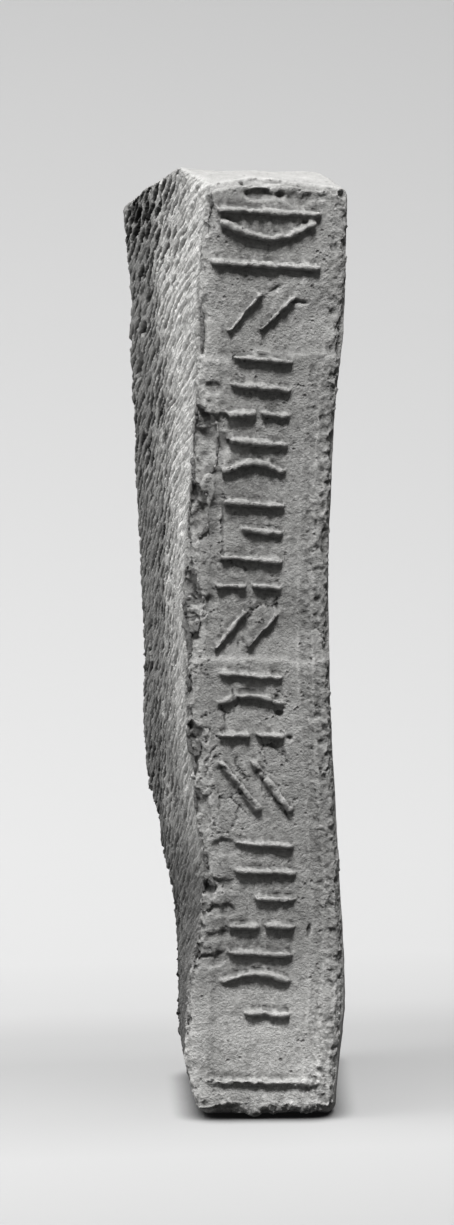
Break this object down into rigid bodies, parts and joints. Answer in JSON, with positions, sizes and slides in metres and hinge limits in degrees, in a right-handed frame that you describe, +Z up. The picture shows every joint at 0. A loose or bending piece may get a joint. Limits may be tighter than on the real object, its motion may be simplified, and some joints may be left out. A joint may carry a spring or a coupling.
{
  "type": "inscribed brick fragment",
  "caption": "Fragment of a grey fired-clay tomb brick, standing on end: a narrow moulded edge with a column of raised strokes, a cord-marked broad side, and broken top and back.",
  "frame": {"origin": "middle of the bounding box at the level of the foot, on the ground", "axes": "+Z up along the brick's length, -Y out of the moulded edge, -X out of the cord-marked side"},
  "size_m": [0.0786, 0.1284, 0.3374],
  "materials": {
    "fired_clay": "matte, gritty grey fired clay, paler on worn edges and fresh breaks"
  },
  "bodies": {
    "root": {"brick_fragment": "fired_clay"}
  },
  "joints": []
}
